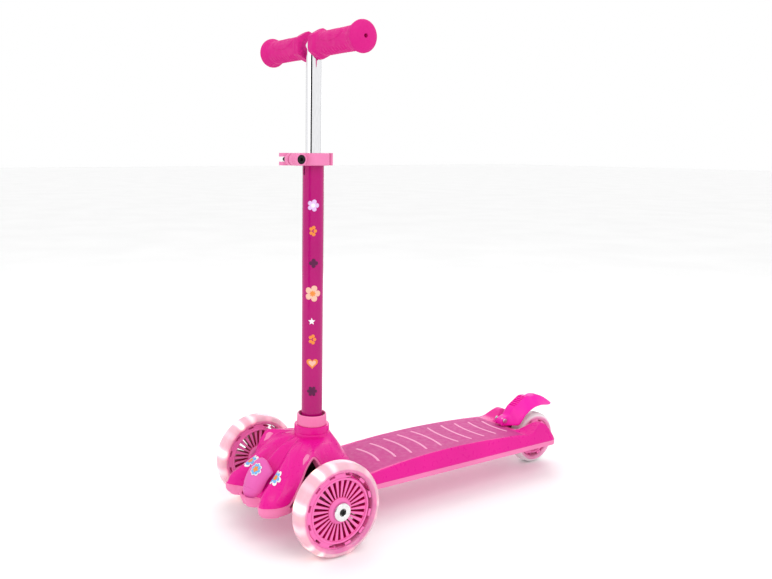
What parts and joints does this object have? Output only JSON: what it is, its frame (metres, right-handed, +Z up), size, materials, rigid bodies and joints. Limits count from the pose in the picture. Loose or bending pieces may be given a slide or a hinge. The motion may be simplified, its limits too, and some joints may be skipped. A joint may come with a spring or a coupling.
{
  "type": "kick scooter",
  "caption": "Child's lean-to-steer kick scooter with two lit front wheels, one rear wheel, a press-down rear brake and a telescopic T-bar.",
  "frame": {"origin": "on the floor, at the centre of the overall box", "axes": "+Z up, the scooter faces -Y, +X is the rider's left"},
  "size_m": [0.241, 0.5633, 0.6495],
  "materials": {
    "magenta_shell": "glossy moulded polypropylene",
    "fender_magenta": "glossy moulded polypropylene",
    "pink_shell": "satin moulded polypropylene",
    "pink_toe": "satin moulded polypropylene",
    "pink_strip": "satin moulded polypropylene",
    "pink_collar": "satin moulded polypropylene",
    "pink_clamp": "satin moulded nylon",
    "pink_core": "satin moulded polypropylene",
    "grey_nylon": "moulded nylon",
    "dark_nylon": "glass-filled nylon",
    "magenta_tube": "gloss paint",
    "magenta_rubber": "matt moulded rubber",
    "steel": "zinc-plated steel",
    "cap_steel": "polished steel",
    "bearing_steel": "ground steel",
    "black_steel": "black oxide steel",
    "magnet": "nickel-plated magnet",
    "chrome": "bright chrome plate",
    "clear_tyre": "clear cast polyurethane",
    "white_tyre": "milky cast polyurethane",
    "led": "clear lamp capsule"
  },
  "bodies": {
    "frame": {"upper_shell": "magenta_shell", "lower_shell": "pink_shell", "arch_liner_left": "pink_shell", "arch_liner_right": "pink_shell", "centre_toe": "pink_toe", "deck_strips": "pink_strip", "stem_socket": "grey_nylon", "column_collar": "pink_collar", "lower_tube": "magenta_tube", "tube_bush": "grey_nylon", "cross_bolt": "steel", "clamp_ring": "pink_clamp", "clamp_skewer": "black_steel", "lever_pin": "black_steel", "steering_yoke": "dark_nylon", "yoke_screws": "steel", "kingpin_left": "steel", "kingpin_right": "steel", "rear_axle": "steel", "rear_axle_nut": "steel", "rear_spacers": "steel", "brake_pin": "steel", "brake_spring": "steel", "shell_screws": "steel"},
    "handlebar": {"upper_tube": "chrome", "tube_guide": "grey_nylon", "crossbar": "chrome", "grip_left": "magenta_rubber", "grip_right": "magenta_rubber"},
    "clamp_lever": {"clamp_lever": "pink_clamp"},
    "knuckle_left": {"knuckle_left": "dark_nylon", "tie_pin_left": "steel", "front_axle_left": "steel", "axle_cap_left": "cap_steel", "cap_screw_left": "steel", "magnet_sleeve_left": "magnet"},
    "knuckle_right": {"knuckle_right": "dark_nylon", "tie_pin_right": "steel", "front_axle_right": "steel", "axle_cap_right": "cap_steel", "cap_screw_right": "steel", "magnet_sleeve_right": "magnet"},
    "tie_bar": {"tie_bar": "steel"},
    "front_wheel_left": {"front_wheel_core_left": "pink_core", "front_tyre_left": "clear_tyre", "led_capsules_left": "led", "front_bearings_left": "bearing_steel"},
    "front_wheel_right": {"front_wheel_core_right": "pink_core", "front_tyre_right": "clear_tyre", "led_capsules_right": "led", "front_bearings_right": "bearing_steel"},
    "rear_wheel": {"rear_wheel_core": "pink_core", "rear_tyre": "white_tyre", "rear_bearings": "bearing_steel"},
    "rear_brake": {"brake_fender": "fender_magenta", "brake_pad": "steel"}
  },
  "joints": [
    {"name": "steer_left", "type": "hinge", "parent": "frame", "child": "knuckle_left", "pos_m": [0.036, -0.2045, 0.06], "axis": [0, -0.342, 0.9397], "range_deg": [-12, 12], "stiffness_Nm_per_rad": 12},
    {"name": "steer_right", "type": "hinge", "parent": "frame", "child": "knuckle_right", "pos_m": [-0.036, -0.2045, 0.06], "axis": [0, -0.342, 0.9397], "range_deg": [-12, 12]},
    {"name": "tie_bar_pivot", "type": "hinge", "parent": "knuckle_left", "child": "tie_bar", "pos_m": [0.036, -0.22406, 0.0582], "axis": [0, -0.342, 0.9397], "range_deg": [-12, 12]},
    {"name": "front_wheel_left_spin", "type": "hinge", "parent": "knuckle_left", "child": "front_wheel_left", "pos_m": [0.1055, -0.2045, 0.06], "axis": [1, 0, 0], "continuous": true},
    {"name": "front_wheel_right_spin", "type": "hinge", "parent": "knuckle_right", "child": "front_wheel_right", "pos_m": [-0.1055, -0.2045, 0.06], "axis": [1, 0, 0], "continuous": true},
    {"name": "rear_wheel_spin", "type": "hinge", "parent": "frame", "child": "rear_wheel", "pos_m": [0, 0.2415, 0.04], "axis": [1, 0, 0], "continuous": true},
    {"name": "brake_press", "type": "hinge", "parent": "frame", "child": "rear_brake", "pos_m": [0, 0.175, 0.0785], "axis": [-1, 0, 0], "range_deg": [0, 10], "stiffness_Nm_per_rad": 1.2, "springref_deg": -8.59},
    {"name": "bar_height", "type": "slide", "parent": "frame", "child": "handlebar", "axis": [0, 0, 1], "range_m": [-0.1, 0.05]},
    {"name": "clamp_lever_turn", "type": "hinge", "parent": "frame", "child": "clamp_lever", "pos_m": [-0.019, -0.2055, 0.486], "axis": [0, 0, 1], "range_deg": [0, 110]}
  ],
  "couplings": [
    {"joint": "steer_right", "follows": "steer_left", "ratio": 1},
    {"joint": "tie_bar_pivot", "follows": "steer_left", "ratio": -1}
  ]
}
